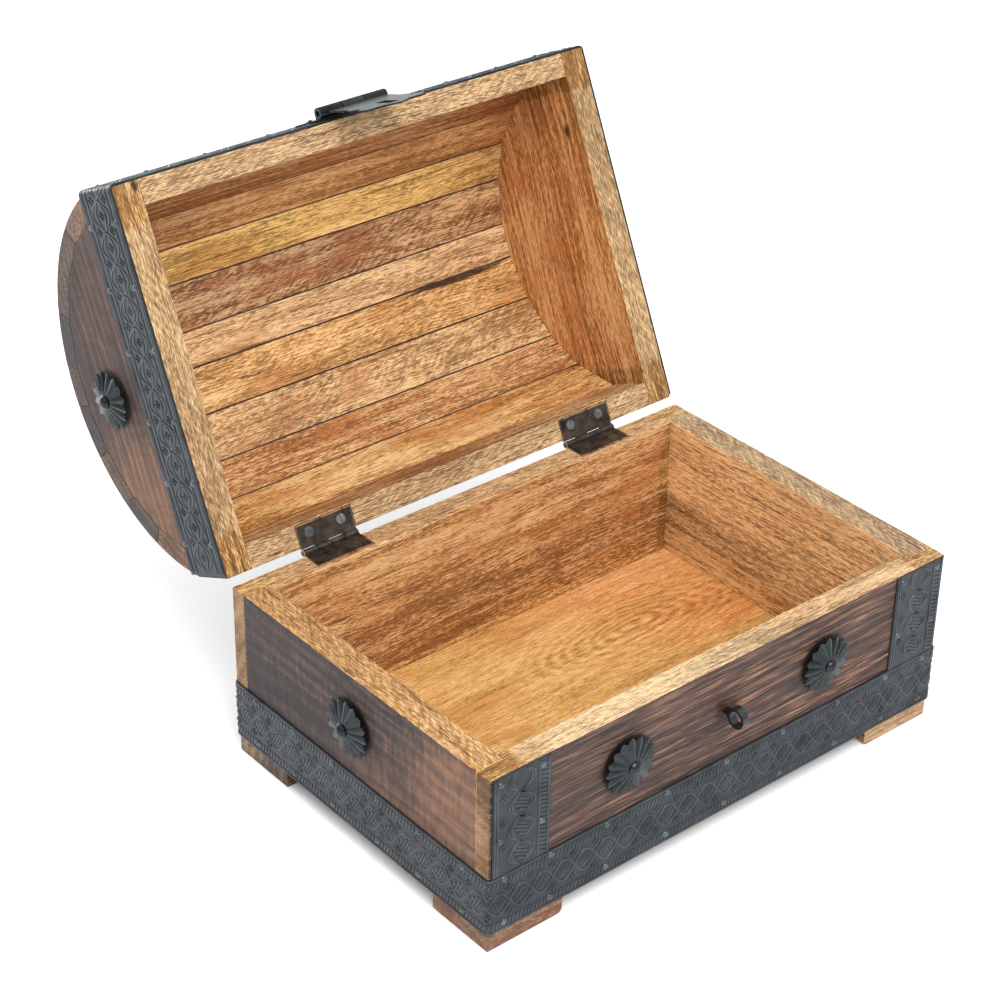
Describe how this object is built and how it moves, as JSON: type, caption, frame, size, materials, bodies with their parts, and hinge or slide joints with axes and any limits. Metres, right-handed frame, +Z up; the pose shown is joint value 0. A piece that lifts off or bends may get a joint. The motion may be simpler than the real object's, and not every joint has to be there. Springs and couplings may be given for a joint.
{
  "type": "treasure chest",
  "caption": "Small wooden treasure chest with a domed stave lid on butt hinges, stamped metal bands, flower rosettes and a swinging hasp over a padlock staple.",
  "frame": {"origin": "centre of the tray's footprint, on the plane that its feet stand on", "axes": "+X along the chest's length, to the right as seen from its front; +Y from the front to the hinged rear; +Z up"},
  "size_m": [0.3166, 0.3639, 0.3022],
  "materials": {
    "stained_wood": "dark stained and burnt outside, natural light mango wood on rims and inside, fine open grain, satin",
    "natural_wood": "natural mango wood inside with staves of differing colour, dark stained outside, satin",
    "foot_wood": "plain sawn wood, matt",
    "stamped_sheet": "dark slate-grey sheet with a stamped relief, semi-gloss",
    "nail_metal": "dark grey round heads",
    "rosette_metal": "dark grey pressed sheet, satin",
    "hinge_metal": "brown bronzed steel, satin",
    "screw_steel": "grey slotted heads",
    "hasp_metal": "blackened steel, satin"
  },
  "bodies": {
    "tray": {"base_band": "stamped_sheet", "base_band_nails": "nail_metal", "bottom_board": "natural_wood", "floor_nails": "nail_metal", "foot_front_left": "foot_wood", "foot_front_right": "foot_wood", "foot_nails": "nail_metal", "foot_rear_left": "foot_wood", "foot_rear_right": "foot_wood", "front_board": "stained_wood", "front_left_strap": "stamped_sheet", "front_right_strap": "stamped_sheet", "hasp_staple": "hasp_metal", "hinge_tray_screws": "screw_steel", "left_end_board": "stained_wood", "left_hinge_pin": "hinge_metal", "left_hinge_tray_leaf": "hinge_metal", "rear_board": "stained_wood", "right_end_board": "stained_wood", "right_hinge_pin": "hinge_metal", "right_hinge_tray_leaf": "hinge_metal", "rosette_front_left": "rosette_metal", "rosette_front_right": "rosette_metal", "rosette_left_end": "rosette_metal", "rosette_nails_tray": "rosette_metal", "rosette_right_end": "rosette_metal", "strap_nails": "nail_metal"},
    "lid": {"lid_left_end": "stained_wood", "lid_right_end": "stained_wood", "lid_front_rail": "natural_wood", "lid_rear_rail": "natural_wood", "lid_stave_1": "natural_wood", "lid_stave_2": "natural_wood", "lid_stave_3": "natural_wood", "lid_stave_4": "natural_wood", "lid_stave_5": "natural_wood", "lid_stave_6": "natural_wood", "lid_stave_7": "natural_wood", "lid_stave_8": "natural_wood", "lid_stave_9": "natural_wood", "lid_band": "stamped_sheet", "lid_band_nails": "nail_metal", "rosette_lid_left": "rosette_metal", "rosette_lid_right": "rosette_metal", "rosette_nails_lid": "rosette_metal", "left_hinge_lid_leaf": "hinge_metal", "right_hinge_lid_leaf": "hinge_metal", "hinge_lid_screws": "screw_steel", "hasp_plate": "hasp_metal", "hasp_plate_nails": "hasp_metal", "hasp_pin": "hasp_metal"},
    "flap": {"hasp_flap": "hasp_metal"}
  },
  "joints": [
    {"name": "lid_hinge", "type": "hinge", "parent": "tray", "child": "lid", "pos_m": [0, 0.1027, 0.1001], "axis": [1, 0, 0], "range_deg": [0, 115]},
    {"name": "hasp_hinge", "type": "hinge", "parent": "lid", "child": "flap", "pos_m": [-0.002, 0.19418, 0.28705], "axis": [1, 0, 0], "range_deg": [-150, 0]}
  ]
}
